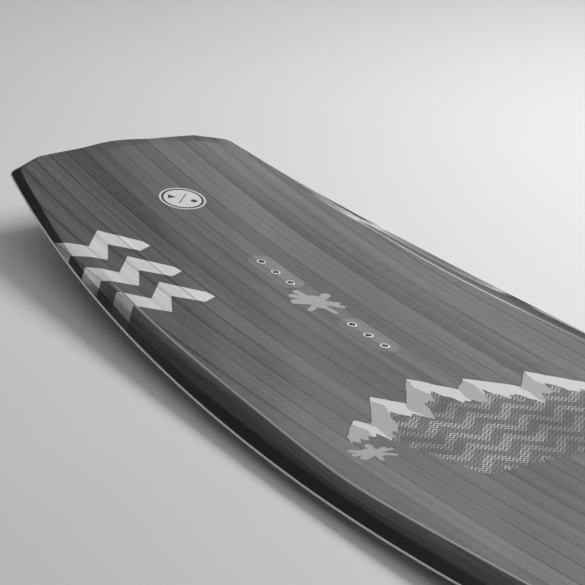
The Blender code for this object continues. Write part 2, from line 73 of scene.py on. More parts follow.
# Side profile and cross-section, as in the CAD model.
BOARD_THICKNESS = 0.020
DECK_RISE = 0.062
DECK_REACH = 0.700
BASE_RISE = 0.071
ROCKER_QUARTIC = 0.22
FLAT_SPOT = 0.080
CROWN = 0.0028
CROWN_WIDTH = 0.160
CROWN_FADE = (0.120, 0.360)
CREASE_OFFSET = 0.193
CREASE_SPREAD = 0.078
CREASE_ROUNDING = 0.040
CREASE_INSET_AT_TIP = 0.0235
SLOPE_DROP = 0.0035
SLOPE_DROP_AT_TIP = 0.0008
SLOPE_FADE = (0.360, 0.600)
BEVEL_WIDTH = 0.0115
BEVEL_WIDTH_AT_TIP = 0.0085
BEVEL_FADE = (0.500, 0.660)
EDGE_DROP = 0.0089
LIP_WIDTH = 0.0012
UNDERBEVEL_WIDTH = 0.022
TOPSHEET = 0.0008
BASE_SHEET = 0.0015
GAP = 0.0003
SLIT = 0.00005  # between the topsheet's rim and the lip of the base sheet

# How round the edges are.
CREASE_CUT = 0.0024
BEVEL_CUT = 0.0016
RIM_CUT = 0.0003
LIP_CUT = 0.0004
UNDERBEVEL_CUT = 0.0040
CUT_STEPS = 4
SUPPORT = 1.25  # how far out the close points beside a curve are, in lengths of its cut
LARGEST_CUT = 1 / 2.6  # of the shorter side beside the corner

# Fineness of the skins.
STATION_PITCH = 0.010
DECK_COLUMNS = 16
UNDERSIDE_COLUMNS = 3
ARC_STEPS = 10
LOBE_STEPS = 14
EDGE_STEPS = 5

# Hardware, as in the CAD model.
INSERT_PITCH = 0.0254
GROUPS = {"inner": 9 * INSERT_PITCH, "outer": 15 * INSERT_PITCH}
ENDS = {"nose": 1, "tail": -1}
BARREL_RADIUS = 0.0047
FLANGE_RADIUS = 0.0090
FLANGE_HEIGHT = 0.0015
INSERT_HOLE_RADIUS = BARREL_RADIUS + GAP
THREAD_RADIUS = 0.0032
FIN_X = 0.575
FIN_LENGTH = 0.104
FIN_FOOT_WIDTH = 0.018
FIN_FOOT_HEIGHT = 0.0028
FIN_HEAD_SEAT = 0.0013
BLADE_LENGTH = 0.060
BLADE_DEPTH = 0.024
BLADE_ROOT = 0.0050
BLADE_EDGE = 0.0020
BLADE_FULLNESS = (2.6, 0.6)
FIN_SCREW_X = 0.0405
FIN_INSERT_RADIUS = 0.0050
SCREW_RADIUS = 0.0030
SCREW_HEAD_RADIUS = 0.0055
SCREW_HEAD_HEIGHT = 0.0026
SCREW_LENGTH = 0.0120
SOCKET_RADIUS = 0.0023
SOCKET_DEPTH = 0.0016

# Holes: how far their cutters stand out of the pieces, and how many sides they have.
HOLE_REACH = 0.004
FIN_HOLE_REACH = 0.030
CUTTER_MARGIN = 0.001
INSERT_HOLE_SIDES = 48
FIN_INSERT_HOLE_SIDES = 32
SCREW_SIDES = 40
SOCKET_SIDES = 6

SMOOTH_ANGLE = radians(35)  # flatter edges than this are shaded smoothly

Row = namedtuple("Row", "x y inset_x inset_y")


def smooth(value, start, end):
    """0 before start, 1 after end, and an S-curve between them."""
    t = min(1.0, max(0.0, (value - start) / (end - start)))
    return t * t * (3.0 - 2.0 * t)


# The board's surfaces.


def half_width(x):
    return HALF_WIDTH - RAIL_NARROWING * (abs(x) / RAIL_REACH) ** RAIL_POWER


def rocker(u):
    return (1.0 - ROCKER_QUARTIC) * u**2 + ROCKER_QUARTIC * u**4


def rocker_slope(u):
    return 2.0 * (1.0 - ROCKER_QUARTIC) * u + 4.0 * ROCKER_QUARTIC * u**3


def deck_height(x):
    return BOARD_THICKNESS + DECK_RISE * rocker(abs(x) / DECK_REACH)


def deck_angle(x):
    slope = DECK_RISE / DECK_REACH * rocker_slope(abs(x) / DECK_REACH)
    return atan(slope) if x > 0 else -atan(slope)


def base_height(x):
    return BASE_RISE * rocker(max(0.0, abs(x) - FLAT_SPOT) / (TIP_X - FLAT_SPOT))


def base_angle(x):
    reach = TIP_X - FLAT_SPOT
    slope = BASE_RISE / reach * rocker_slope(max(0.0, abs(x) - FLAT_SPOT) / reach)
    return atan(slope) if x > 0 else -atan(slope)


def deck_surface(x, y):
    crown = CROWN * smooth(abs(x), *CROWN_FADE)
    return deck_height(x) - crown * (y / CROWN_WIDTH) ** 2


def crease_y(x):
    straight = CREASE_OFFSET - CREASE_SPREAD * hypot(x, CREASE_ROUNDING)
    return min(straight, half_width(x) - CREASE_INSET_AT_TIP)


def slope_drop(x):
    return SLOPE_DROP + smooth(abs(x), *SLOPE_FADE) * (SLOPE_DROP_AT_TIP - SLOPE_DROP)


def bevel_width(x):
    return BEVEL_WIDTH + smooth(abs(x), *BEVEL_FADE) * (BEVEL_WIDTH_AT_TIP - BEVEL_WIDTH)


def on_deck(x):
    """A frame on the deck's centreline, with Z out of the deck."""
    return Matrix.Translation((x, 0.0, deck_height(x))) @ Matrix.Rotation(-deck_angle(x), 4, "Y")


def under_base(x):
    """A frame on the base's centreline, with Z up into the board."""
    return Matrix.Translation((x, 0.0, base_height(x))) @ Matrix.Rotation(-base_angle(x), 4, "Y")


# The plan outline, as rows across the board.


def between(first, last, count):
    """Rows spaced evenly after first, up to and with last."""
    shares = [(i + 1) / count for i in range(count)]
    return [Row(*(a + (b - a) * share for a, b in zip(first, last))) for share in shares]


def mitre(before, corner, after):
    """How a corner moves outwards when both of its sides move out by one unit."""
    first = Vector((before[1] - corner[1], corner[0] - before[0])).normalized()
    second = Vector((corner[1] - after[1], after[0] - corner[0])).normalized()
    return (first + second) / (1.0 + first.dot(second))


def rounded_corner(before, corner, after, radius):
    out = mitre(before, corner, after)
    corner = Vector(corner)
    towards_start = (Vector(before) - corner).normalized()
    towards_end = (Vector(after) - corner).normalized()
    turn = pi - towards_start.angle(towards_end)
    start = corner + towards_start * radius * tan(turn / 2)
    centre = corner + (towards_start + towards_end).normalized() * radius / cos(turn / 2)
    rows = []
    for step in range(ARC_STEPS + 1):
        point = centre + Matrix.Rotation(-turn * step / ARC_STEPS, 2) @ (start - centre)
        rows.append(Row(point.x, point.y, out.x, out.y))
    return rows


def lobe_row(y):
    share = cos(pi / 2 * y / LOBE_FOOT[1]) ** 2
    x = LOBE_FOOT[0] + share * (BASE_HIGH.x - LOBE_FOOT[0])
    return Row(x, y, 1.0, LOBE_TAPER * y / LOBE_FOOT[1])


def tip_rows():
    corner = (CORNER_X, half_width(CORNER_X))
    arcs = [
        rounded_corner((RAIL_END, half_width(RAIL_END)), corner, HORN, CORNER_RADIUS),
        rounded_corner(corner, HORN, LOBE_FOOT, HORN_RADIUS),
    ]
    rows = [Row(RAIL_END, half_width(RAIL_END), 0.0, 1.0)]
    for arc in arcs:
        rows += between(rows[-1], arc[0], EDGE_STEPS) + arc[1:]
    rows += between(rows[-1], lobe_row(LOBE_FOOT[1]), EDGE_STEPS)
    return rows + [lobe_row(LOBE_FOOT[1] * (1 - i / LOBE_STEPS)) for i in range(1, LOBE_STEPS + 1)]


def all_rows():
    nose = tip_rows()
    tail = [Row(-r.x, r.y, -r.inset_x, r.inset_y) for r in reversed(nose)]
    count = int(RAIL_END / STATION_PITCH)
    stations = [i * STATION_PITCH for i in range(-count, count + 1)]
    rails = [Row(x, half_width(x), 0.0, 1.0) for x in stations]
    return tail + rails + nose


def inset(row, distance):
    return row.x - distance * row.inset_x, row.y - distance * row.inset_y


# Half sections. A point of a section is a place in the plan, a height, and the distance from the
# board's edge.

Point = namedtuple("Point", "x y z rim")


def rounded(corners, cuts):
    """The path through corners in a plane, with a small curve in place of each inner one.

    Close points on both sides of a curve keep the faces beside it flat when they are smoothly shaded.
    """
    path = [corners[0]]
    for before, corner, after, cut in zip(corners, corners[1:], corners[2:], cuts):
        reach = min(cut, (before - corner).length * LARGEST_CUT, (after - corner).length * LARGEST_CUT)
        back = (before - corner).normalized() * reach
        ahead = (after - corner).normalized() * reach
        path.append(corner + back * SUPPORT)
        for step in range(CUT_STEPS + 1):
            t = step / CUT_STEPS
            path.append(corner + back * (1 - t) ** 2 + ahead * t**2)
        path.append(corner + ahead * SUPPORT)
    return path + [corners[-1]]


def crease_inset(row):
    return CREASE_INSET_AT_TIP if row.inset_x else row.y - crease_y(row.x)


def placed(row, path):
    """Points from (distance from the edge, height) pairs."""
    return [Point(*inset(row, p[0]), p[1], p[0]) for p in path]


def across(row, start, columns, height):
    """Points from the centreline out to the distance start from the edge, on the surface height(x, y)."""
    x, y = inset(row, start)
    shares = [i / columns for i in range(columns)]
    return [Point(x, y * share, height(x, y * share), start + y * (1 - share)) for share in shares]


def deck_section(row):
    """The topsheet: over the crowned deck, the crease, the slope and the bevel, and back underneath."""
    crease = crease_inset(row)
    inner = crease + 2 * CREASE_CUT
    bevel = bevel_width(row.x)
    rim = deck_height(row.x) - EDGE_DROP + SLIT

    def surface(distance):
        return deck_surface(*inset(row, distance))

    corners = [
        Vector((inner, surface(inner))),
        Vector((crease, surface(crease))),
        Vector((bevel, surface(bevel) - slope_drop(row.x))),
        Vector((LIP_WIDTH, rim + TOPSHEET)),
        Vector((LIP_WIDTH, rim)),
    ]
    top = across(row, inner, DECK_COLUMNS, deck_surface)
    top += placed(row, rounded(corners, (CREASE_CUT, BEVEL_CUT, RIM_CUT)))
    under = [c - Vector((0.0, TOPSHEET)) for c in corners[:3]]
    below = across(row, inner, UNDERSIDE_COLUMNS, lambda x, y: deck_surface(x, y) - TOPSHEET)
    return top + placed(row, under)[::-1] + below[::-1]


def base_section(row):
    """The base sheet: its flat running surface, the bevel under the edge, the lip, and back on top."""
    inner = UNDERBEVEL_WIDTH + 2 * UNDERBEVEL_CUT
    edge = deck_height(row.x) - EDGE_DROP

    def surface(distance):
        return base_height(inset(row, distance)[0])

    corners = [
        Vector((inner, surface(inner))),
        Vector((UNDERBEVEL_WIDTH, surface(UNDERBEVEL_WIDTH))),
        Vector((0.0, edge - BASE_SHEET)),
        Vector((0.0, edge)),
        Vector((LIP_WIDTH + GAP, edge)),
    ]
    outside = across(row, inner, UNDERSIDE_COLUMNS, lambda x, y: base_height(x))
    outside += placed(row, rounded(corners, (UNDERBEVEL_CUT, LIP_CUT, LIP_CUT)))
    ledge = Vector((LIP_WIDTH + GAP, edge - SLIT))
    inside = [corners[0], corners[1]]
    inside = [p + Vector((0.0, BASE_SHEET)) for p in inside]
    below = across(row, inner, UNDERSIDE_COLUMNS, lambda x, y: base_height(x) + BASE_SHEET)
    return outside + placed(row, [ledge]) + placed(row, inside)[::-1] + below[::-1]


# Mesh tools.


def add_object(name, bm, placement=None):
    bmesh.ops.recalc_face_normals(bm, faces=bm.faces)
    mesh = bpy.data.meshes.new(name)
    bm.to_mesh(mesh)
    bm.free()
    obj = bpy.data.objects.new(name, mesh)
    bpy.context.scene.collection.objects.link(obj)
    if placement is not None:
        obj.matrix_world = placement
    return obj


def shade(obj):
    obj.data.shade_smooth()
    obj.data.set_sharp_from_angle(angle=SMOOTH_ANGLE)


def bridge(bm, loops):
    """Adds faces between neighbouring loops of points."""
    for a, b in zip(loops, loops[1:]):
        for i in range(len(a)):
            j = (i + 1) % len(a)
            bm.faces.new((a[i], a[j], b[j], b[i]))


def board_skin(name, section):
    """A closed shell through the section of every row, mirrored to the right side.

    Each of its points keeps its distance in from the board's edge, and out from the crease.
    """
    bm = bmesh.new()
    rim = bm.verts.layers.float.new("rim")
    past_crease = bm.verts.layers.float.new("past_crease")

    def vertex(row, point, side):
        made = bm.verts.new((point.x, side * point.y, point.z))
        made[rim] = point.rim
        made[past_crease] = crease_inset(row) - point.rim
        return made

    loops = []
    for row in all_rows():
        points = section(row)
        left = [vertex(row, p, 1) for p in points]
        right = [vertex(row, p, -1) for p in points[1:-1]]
        loops.append(left + right[::-1])
    bridge(bm, loops)
    bmesh.ops.remove_doubles(bm, verts=bm.verts, dist=1e-6)
    return add_object(name, bm)


def turned(bm, profile, sides, placement=Matrix.Identity(4)):
    """Adds a turned body. The profile starts and ends on the axis."""
    rings = []
    for radius, height in profile:
        count = 1 if radius == 0.0 else sides
        angles = [2 * pi * k / sides for k in range(count)]
        places = [Vector((radius * cos(a), radius * sin(a), height)) for a in angles]
        rings.append([bm.verts.new(placement @ place) for place in places])
    for a, b in zip(rings, rings[1:]):
        for k in range(sides):
            j = (k + 1) % sides
            corners = (a[k % len(a)], a[j % len(a)], b[j % len(b)], b[k % len(b)])
            bm.faces.new(list(dict.fromkeys(corners)))


def cut_holes(obj, bodies):
    """Cuts turned bodies, each (profile, sides, placement), out of obj."""
    bm = bmesh.new()
    for profile, sides, placement in bodies:
        turned(bm, profile, sides, placement)
    tool = add_object("tool", bm)
    modifier = obj.modifiers.new("holes", "BOOLEAN")
    modifier.solver = "EXACT"
    modifier.object = tool
    bpy.context.view_layer.update()
    evaluated = obj.evaluated_get(bpy.context.evaluated_depsgraph_get())
    whole = obj.data
    obj.data = bpy.data.meshes.new_from_object(evaluated)
    obj.modifiers.clear()
    bpy.data.meshes.remove(whole)
    bpy.data.objects.remove(tool, do_unlink=True)


def finish_piece(obj, slot, material, *replaced):
    shade(obj)
    obj.data.materials.clear()
    obj.data.materials.append(material)
    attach(obj, "root")
    if replaced:
        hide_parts(*replaced)
    return obj


# Materials. A Value is a number that a material works out at each point of a surface.


class Value:
    def __init__(self, graph, socket):
        self.graph = graph
        self.socket = socket

    def math(self, operation, *others):
        return self.graph.math(operation, self, *others)

    def __add__(self, other):
        return self.math("ADD", other)

    def __radd__(self, other):
        return self.math("ADD", other)

    def __sub__(self, other):
        return self.math("SUBTRACT", other)

    def __rsub__(self, other):
        return self.graph.math("SUBTRACT", other, self)

    def __mul__(self, other):
        return self.math("MULTIPLY", other)

    def __rmul__(self, other):
        return self.math("MULTIPLY", other)

    def __truediv__(self, other):
        return self.math("DIVIDE", other)

    def __mod__(self, other):
        return self.math("FLOORED_MODULO", other)

    def __neg__(self):
        return self.math("MULTIPLY", -1.0)

    def __abs__(self):
        return self.math("ABSOLUTE")

    def floor(self):
        return self.math("FLOOR")

    def low(self, other):
        return self.math("MINIMUM", other)

    def high(self, other):
        return self.math("MAXIMUM", other)


class Graph:
    """The nodes of one material, built by calls that read like formulas."""

    def __init__(self, name):
        self.material = bpy.data.materials.new(name)
        self.material.use_nodes = True
        self.tree = self.material.node_tree
        self.shader = self.tree.nodes["Principled BSDF"]
        self.place = self.node("ShaderNodeTexCoord").outputs["Object"]
        split = self.node("ShaderNodeSeparateXYZ")
        self.feed(split.inputs[0], self.place)
        self.x, self.y, self.z = (Value(self, out) for out in split.outputs)

    def node(self, kind, **settings):
        made = self.tree.nodes.new(kind)
        for key, value in settings.items():
            setattr(made, key, value)
        return made

    def feed(self, socket, value):
        if isinstance(value, Value):
            value = value.socket
        if isinstance(value, bpy.types.NodeSocket):
            self.tree.links.new(value, socket)
        else:
            socket.default_value = value

    def math(self, operation, *values):
        made = self.node("ShaderNodeMath", operation=operation)
        for socket, value in zip(made.inputs, values):
            self.feed(socket, value)
        return Value(self, made.outputs[0])

    def vector(self, x, y, z=0.0):
        made = self.node("ShaderNodeCombineXYZ")
        for socket, value in zip(made.inputs, (x, y, z)):
            self.feed(socket, value)
        return made.outputs[0]

    def length(self, x, y, z=0.0):
        made = self.node("ShaderNodeVectorMath", operation="LENGTH")
        self.feed(made.inputs[0], self.vector(x, y, z))
        return Value(self, made.outputs["Value"])

    def noise(self, vector, scale=1.0, detail=2.0, roughness=0.5):
        made = self.node("ShaderNodeTexNoise")
        self.feed(made.inputs["Vector"], vector)
        made.inputs["Scale"].default_value = scale
        made.inputs["Detail"].default_value = detail
        made.inputs["Roughness"].default_value = roughness
        return Value(self, made.outputs["Fac"])

    def random(self, number):
        """A fixed random number from 0 to 1 for each whole number."""
        made = self.node("ShaderNodeTexWhiteNoise", noise_dimensions="1D")
        self.feed(made.inputs["W"], number)
        return Value(self, made.outputs["Value"])

    def attribute(self, name):
        return Value(self, self.node("ShaderNodeAttribute", attribute_name=name).outputs["Fac"])

    def step(self, value, start, end):
        """Runs smoothly from 0 at start to 1 at end."""
        made = self.node("ShaderNodeMapRange", interpolation_type="SMOOTHSTEP")
        for name, number in (("Value", value), ("From Min", start), ("From Max", end)):
            self.feed(made.inputs[name], number)
        return Value(self, made.outputs["Result"])

    def inside(self, depth, blur=0.0003):
        """1 where the depth inside a shape is positive, with an edge as soft as blur."""
        return self.step(depth, -blur, blur)

    def mix(self, share, a, b):
        made = self.node("ShaderNodeMix", data_type="FLOAT")
        for socket, value in zip(made.inputs[:1] + made.inputs[2:4], (share, a, b)):
            self.feed(socket, value)
        return Value(self, made.outputs[0])

    def colour(self, share, a, b):
        """From colour a to colour b. Either may be a socket."""
        made = self.node("ShaderNodeMix", data_type="RGBA")
        self.feed(made.inputs[0], share)
        for socket, value in zip(made.inputs[6:8], (a, b)):
            self.feed(socket, (*value, 1.0) if isinstance(value, tuple) else value)
        return made.outputs[2]

    def tinted(self, brightness, tint):
        """A colour of that brightness."""
        made = self.node("ShaderNodeCombineColor")
        for socket, share in zip(made.inputs, tint):
            self.feed(socket, brightness * share)
        return made.outputs[0]

    def bump(self, height, distance, strength=1.0):
        made = self.node("ShaderNodeBump")
        made.inputs["Strength"].default_value = strength
        made.inputs["Distance"].default_value = distance
        self.feed(made.inputs["Height"], height)
        self.feed(self.shader.inputs["Normal"], made.outputs[0])

    def finish(self, colour, roughness, **constants):
        self.feed(self.shader.inputs["Base Color"], colour)
        self.feed(self.shader.inputs["Roughness"], roughness)
        for name, value in constants.items():
            self.shader.inputs[name.replace("_", " ")].default_value = value
        return self.material


# Graphics on the deck, each as the depth inside its outline, in metres. The chevrons' front and back,
# the peaks and the foot of the range are lines through (y, x) points. All other places are (x, y).

CHEVRON_PITCH = 0.0595
CHEVRON_FRONT = (
    (-0.190, -0.492), (-0.165, -0.524), (-0.143, -0.497), (-0.118, -0.524), (-0.088, -0.487),
)
CHEVRON_BACK = (
    (-0.190, -0.461), (-0.166, -0.492), (-0.140, -0.465), (-0.123, -0.494), (-0.100, -0.470),
)
CHEVRON_END = ((-0.487, -0.088), (-0.476, -0.0855), (-0.470, -0.100))
SLANT = 0.7  # turns a distance along X into one across the slanting lines of a zigzag
BADGE = (-0.557, 0.002)
BADGE_RADIUS = 0.0245
BADGE_RING = (0.0021, 0.0047)
PEAK_LINE = (
    (-0.152, -0.030), (-0.143, -0.066), (-0.120, -0.090), (-0.108, -0.078), (-0.078, -0.122),
    (-0.058, -0.096), (-0.026, -0.138), (0.002, -0.100), (0.022, -0.116), (0.058, -0.080),
    (0.082, -0.104), (0.118, -0.060), (0.134, -0.070), (0.156, -0.010),
)
FOOT_LINE = (
    (-0.150, -0.050), (-0.116, -0.054), (-0.104, -0.012), (-0.084, 0.046), (0.100, 0.054), (0.150, 0.016),
)
SNOW_DEPTH = 0.024
HATCH_PITCH = 0.0044
BAND_PITCH = 0.0240
OUTLINE = 0.0012
BRUSH_STROKES = (  # from x, y to x, y, and the width, all in sizes of the mark
    (-0.56, 0.10, 0.50, -0.12, 0.15), (-0.30, -0.26, 0.28, 0.24, 0.22), (-0.08, 0.38, 0.10, -0.36, 0.19),
    (-0.50, -0.10, 0.06, 0.02, 0.16), (0.02, 0.04, 0.46, 0.20, 0.15), (-0.14, 0.06, 0.16, -0.08, 0.30),
)


def circle(g, x, y, centre, radius):
    return radius - g.length(x - centre[0], y - centre[1])


def right_of(x, y, start, end):
    """How far a place lies to the right of the line from start to end."""
    along = (Vector(end) - Vector(start)).normalized()
    return (x - start[0]) * along.y - (y - start[1]) * along.x


def polygon(x, y, corners):
    """A convex shape, with its corners in clockwise order."""
    sides = zip(corners, corners[1:] + corners[:1])
    return reduce(Value.low, [right_of(x, y, start, end) for start, end in sides])


def stroke(g, x, y, start, end, width):
    """A brush stroke from start to end, which thins towards its end."""
    along = Vector(end) - Vector(start)
    length = along.length
    c, s = along / length
    u = (x - start[0]) * c + (y - start[1]) * s
    v = (y - start[1]) * c - (x - start[0]) * s
    beyond = u - u.high(0.0).low(length)
    return (width / 2) * (1.0 - u / length * 0.35) - g.length(beyond, v)


def zigzag(value, period, height):
    """A triangle wave: 0 at whole periods, and height halfway between them."""
    return (1.0 - abs(value % period / (period / 2) - 1.0)) * height


def bent(value, points):
    """The line through (value, result) points, which runs straight on past both ends."""
    slopes = [(b[1] - a[1]) / (b[0] - a[0]) for a, b in zip(points, points[1:])]
    result = (value - points[0][0]) * slopes[0] + points[0][1]
    for point, before, after in zip(points[1:], slopes, slopes[1:]):
        result = result + (value - point[0]).high(0.0) * (after - before)
    return result


def chevrons(x, y):
    """Three zigzag bands that run from the rail towards the middle of the board."""
    front = bent(y, CHEVRON_FRONT)
    back = bent(y, CHEVRON_BACK)
    bands = []
    for number in range(3):
        along = x - number * CHEVRON_PITCH
        sides = [right_of(along, y, start, end) for start, end in zip(CHEVRON_END, CHEVRON_END[1:])]
        bands.append(reduce(Value.low, sides, (along - front).low(back - along) * SLANT))
    return reduce(Value.high, bands)


def emblem(g, x, y):
    """A triangle and a disc on either side of a diagonal line, within the badge."""
    u = (x - BADGE[0]) / BADGE_RADIUS
    v = (y - BADGE[1]) / BADGE_RADIUS
    peak = polygon(u, v, [(-0.22, -0.58), (-0.56, -0.40), (-0.20, -0.20)])
    disc = circle(g, u, v, (0.34, 0.36), 0.14)
    line = (0.022 - abs(right_of(u, v, (0.66, -0.75), (-0.66, 0.75)))).low(0.50 - g.length(u, v))
    return peak.high(disc).high(line) * BADGE_RADIUS


def stripes(g, value, pitch, blur=0.0003):
    """1 in the middle half of each pitch and 0 between."""
    return g.inside(pitch / 4 - abs(value % pitch - pitch / 2), blur)


def mountains(g, x, y, tone):
    """Snowy peaks over patterned flanks, drawn over a deck of that tone."""
    wobble = g.noise(g.vector(x * 60.0, y * 60.0), detail=3.0) * 0.006 - 0.003
    below = x - bent(y + wobble, PEAK_LINE)
    foot = bent(y, FOOT_LINE) - zigzag(y, 0.0087, 0.007) - x
    depth = (below * SLANT).low(foot)
    drift = y + zigzag(x, 0.034, 0.005) + wobble
    rise = bent(drift + 0.002, PEAK_LINE) - bent(drift - 0.002, PEAK_LINE)
    lit = g.inside(rise, 0.0005)
    snow = SNOW_DEPTH + zigzag(y + wobble, 0.021, 0.014) + zigzag(y, 0.0073, 0.004) - below
    hatch = stripes(g, x + zigzag(y, 0.0080, 0.004), HATCH_PITCH)
    bands = stripes(g, x + zigzag(y, 0.0400, 0.018), BAND_PITCH, 0.0006)
    patch = g.step(g.noise(g.vector(x * 14.0, y * 14.0, 5.0), detail=2.0), 0.36, 0.64)
    flank = g.mix(hatch, 0.040, 0.13 + bands * 0.20) * g.mix(patch, 0.60, 1.25)
    grain = (g.noise(g.vector(x, y), 900.0, detail=2.0) - 0.5) * 0.16
    drawn = g.mix(g.inside(snow), flank, g.mix(lit, 0.34, 0.58) * (1.0 + grain))
    outlined = g.mix(g.inside(depth + OUTLINE), tone, 0.025)
    return g.mix(g.inside(depth), outlined, drawn)


def pods(g, x, y):
    """Ovals over the patches around the inserts, at both ends alike."""
    shapes = []
    for group in GROUPS:
        low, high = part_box(f"insert_patch_nose_{group}")
        radius = (high.y - low.y) / 2
        half = (high.x - low.x) / 2 - radius
        along = (abs(abs(x) - (low.x + high.x) / 2) - half).high(0.0)
        shapes.append(radius - g.length(along, y))
    return reduce(Value.high, shapes)


def brush_mark(g, x, y, centre, size, turn):
    """A few crossing strokes of a dry brush, turned by that many degrees."""
    ragged = g.noise(g.vector(x * 300.0, y * 300.0), detail=2.0) * 0.0016 - 0.0008
    spin = Matrix.Rotation(radians(turn), 2)
    marks = []
    for x0, y0, x1, y1, width in BRUSH_STROKES:
        start = spin @ Vector((x0, y0)) * size + Vector(centre)
        end = spin @ Vector((x1, y1)) * size + Vector(centre)
        marks.append(stroke(g, x, y, start, end, width * size))
    return reduce(Value.high, marks) + ragged


def strip_wood(g, x, y, strip_width, shift):
    """Wood strips along X: brightness around 1, with a painted shadow beside some seams; seams from 0 to
    1, and fine grain from 0 to 1.
    """
    across_strips = (y + shift) / strip_width
    number = across_strips.floor()
    tone = g.random(number)
    place = tone * 40.0
    fine = g.noise(g.vector(x * 9.0 + place, y * 800.0, place), detail=3.0, roughness=0.7)
    thread = g.noise(g.vector(x * 3.5 + place, y * 300.0, place), detail=3.0, roughness=0.6)
    streak = g.noise(g.vector(x * 1.3 + place, y * 105.0, place), detail=2.0)
    cloud = g.noise(g.vector(x * 2.2, y * 14.0, place), detail=2.0)
    figure = g.noise(g.vector(x * 170.0 + y * 60.0, y * 22.0, place), detail=2.0)
    patchy = g.step(g.noise(g.vector(x * 5.0, y * 7.0, place + 7.0), detail=1.0), 0.48, 0.70)
    from_seam = strip_width * (0.5 - abs(across_strips % 1.0 - 0.5))
    seam = 1.0 - g.step(from_seam, 0.0003, 0.0018)
    seam = seam * (0.45 + 0.55 * g.step(g.noise(g.vector(x * 4.0, y * 50.0, 3.0)), 0.36, 0.58))
    # Painted shadow beside one side of some seams, in patches.
    beside = (1.0 - g.step(across_strips % 1.0, 0.0, 0.34)) * g.step(g.random(number + 31.0), 0.25, 0.75)
    beside = beside * g.step(g.noise(g.vector(x * 2.6 + place, number * 3.7)), 0.34, 0.62)
    brightness = 0.90 + (tone - 0.5) * 0.42 - beside * 0.18 + (figure - 0.5) * patchy * 0.45
    brightness = brightness + (streak - 0.5) * 0.95 + (thread - 0.5) * 0.60 + (fine - 0.5) * 0.45
    pores = g.noise(g.vector(x * 260.0, y * 420.0, place), detail=2.0, roughness=0.6)
    return brightness + (cloud - 0.5) * 0.55 + (pores - 0.5) * 0.50, seam, fine


# Along the board, the painted shade on the slopes and the painted crease highlight fade out between these
# distances.
SHADE_FADE = (0.39, 0.46)
SLOPE_SHADE = (0.34, 0.42)  # at the crease, and past it
# A painted highlight along each crease: its half width, and its tone.
CREASE_HIGHLIGHT_HALF_WIDTH = 0.0012
CREASE_HIGHLIGHT_TONE = 0.25
# Near the middle of the board, within WAIST along it, a painted highlight runs down the slope.
WAIST = (0.08, 0.15)
WAIST_HIGHLIGHT = 0.0100  # a light line down the slope, that far past the crease
# How far in from the edge the near-black painted shade on the bevels reaches.
BEVEL_SHADE_BANDS = (0.0104, 0.0082, 0.0100)  # beside the middle, towards the tips and at their corners


def edge_tone(g, tone):
    """Painted shade: darker slopes and near-black bevels along the edges. Painted highlights: light lines
    along the creases and down the slopes.
    """
    rim = g.attribute("rim")
    past = g.attribute("past_crease")
    along = abs(g.x)
    beside = 1.0 - g.step(along, *SHADE_FADE)
    # Painted shade: the slopes past the crease are darkened.
    shading = SLOPE_SHADE[0] * g.step(past, 0.0, 0.003) + SLOPE_SHADE[1] * g.step(past, 0.003, 0.012)
    tone = tone * (1.0 - beside * shading)
    # Painted highlight: a light line along the crease.
    line = beside * g.inside(CREASE_HIGHLIGHT_HALF_WIDTH * beside - abs(past), 0.0005)
    tone = g.mix(line, tone, CREASE_HIGHLIGHT_TONE)
    waist = 1.0 - g.step(along, *WAIST)
    # Painted highlight: a light line down the slope, near the middle of the board.
    tone = tone * (1.0 + 1.2 * waist * g.inside(0.0006 - abs(past - WAIST_HIGHLIGHT), 0.0005))
    # Painted shade: the bevels are painted near black, with a faint speckle.
    at_corner = g.step(along, 0.52, 0.66) * g.step(abs(g.y), 0.085, 0.110)
    middle_band, tip_band, corner_band = BEVEL_SHADE_BANDS
    band = g.mix(at_corner, g.mix(beside, tip_band, middle_band), corner_band)
    speckle = g.noise(g.place, 500.0, detail=3.0, roughness=0.7)
    bevel = 1.0 - g.step(rim - band, -0.0007, 0.0007)
    bevel_shade = tone * tone * 0.75 * (0.2 + speckle * 1.8) + g.step(speckle, 0.56, 0.74) * 0.020
    return g.mix(bevel, tone, bevel_shade)


STRIP_WIDTH = 0.020
SEAM_SHIFT = 0.005
STAIN_TONE = 0.097
BARE_TONE = 0.52
BADGE_TONE = 0.56
INK_TONE = 0.012
PALE_TONE = 0.32
LARGE_MARK = ((-0.307, -0.002), 0.050, 20.0)  # place, size and turn in degrees
SMALL_MARK = ((-0.032, -0.140), 0.034, 65.0)


